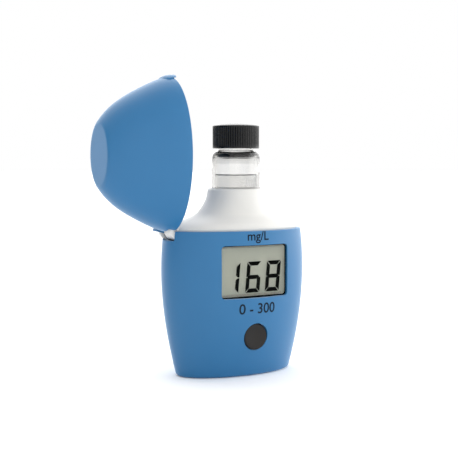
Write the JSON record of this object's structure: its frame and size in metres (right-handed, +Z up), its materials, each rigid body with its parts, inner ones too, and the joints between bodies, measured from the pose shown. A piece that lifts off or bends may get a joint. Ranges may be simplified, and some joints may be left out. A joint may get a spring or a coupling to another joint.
{
  "type": "pocket photometer",
  "caption": "Hand-held photometer with a numeric display, push button, capped sample vial in its well and a hinged lid that stands open.",
  "frame": {"origin": "centre of the flat base, on the surface that the instrument stands on", "axes": "+Z up, +X towards the lid's thumb tab, -Y towards the display"},
  "size_m": [0.0879, 0.0374, 0.1157],
  "materials": {
    "blue_shell": "moulded satin blue ABS",
    "blue_lid": "moulded satin blue ABS",
    "white_neck": "moulded satin white ABS",
    "black_chassis": "moulded matt black",
    "pin_steel": "drawn steel wire",
    "vial_glass": "clear borosilicate glass",
    "cap_black": "moulded black polypropylene, fine ribs",
    "liner": "soft white polyethylene",
    "sample": "clear water-like sample",
    "window": "clear polished acrylic",
    "lcd": "grey-green reflective display",
    "black_frame": "moulded black",
    "zebra": "layered silicone strip",
    "board": "green solder mask",
    "screws": "zinc-plated steel",
    "chip": "moulded epoxy",
    "button": "moulded dark grey rubber-like plastic",
    "switch": "moulded black",
    "sensor": "moulded dark resin",
    "filter": "coloured interference glass",
    "lamp": "cast clear epoxy",
    "cell": "plain dark sleeve",
    "spring_steel": "nickel-plated wire",
    "contact": "nickel-plated strip"
  },
  "bodies": {
    "housing": {"front_shell": "blue_shell", "rear_shell": "blue_shell", "neck_housing": "white_neck", "optics_chassis": "black_chassis", "hinge_pin": "pin_steel", "display_window": "window", "lcd_panel": "lcd", "lcd_frame": "black_frame", "zebra_connectors": "zebra", "main_board": "board", "board_screws": "screws", "microcontroller": "chip", "button_switch": "switch", "photodiode": "sensor", "optical_filter": "filter", "led_lamp": "lamp", "led_board": "board", "battery": "cell", "battery_spring": "spring_steel", "battery_contact": "contact", "battery_cover": "blue_shell", "battery_cover_screw": "screws"},
    "lid": {"lid": "blue_lid"},
    "vial": {"vial": "vial_glass", "sample_liquid": "sample"},
    "vial_stopper": {"vial_stopper": "liner"},
    "vial_cap": {"vial_cap": "cap_black"},
    "power_button": {"power_button": "button"}
  },
  "joints": [
    {"name": "lid_swing", "type": "hinge", "parent": "housing", "child": "lid", "pos_m": [-0.0283, 0, 0.057], "axis": [0, 1, 0], "range_deg": [0, 90]},
    {"name": "vial_seat", "type": "slide", "parent": "housing", "child": "vial", "axis": [0, 0, 1], "range_m": [-0.0191, 0]},
    {"name": "cap_lift", "type": "slide", "parent": "vial", "child": "vial_stopper", "axis": [0, 0, 1], "range_m": [0, 0.0024]},
    {"name": "cap_turn", "type": "hinge", "parent": "vial_stopper", "child": "vial_cap", "pos_m": [0.0012, 0, 0.09], "axis": [0, 0, 1], "range_deg": [0, 360]},
    {"name": "button_press", "type": "slide", "parent": "housing", "child": "power_button", "axis": [0, 1, 0], "range_m": [0, 0.0008], "stiffness_N_per_m": 400}
  ],
  "couplings": [
    {"joint": "vial_seat", "follows": "lid_swing", "m_per_rad": -0.012159},
    {"joint": "cap_lift", "follows": "cap_turn", "m_per_rad": 0.00038197}
  ]
}
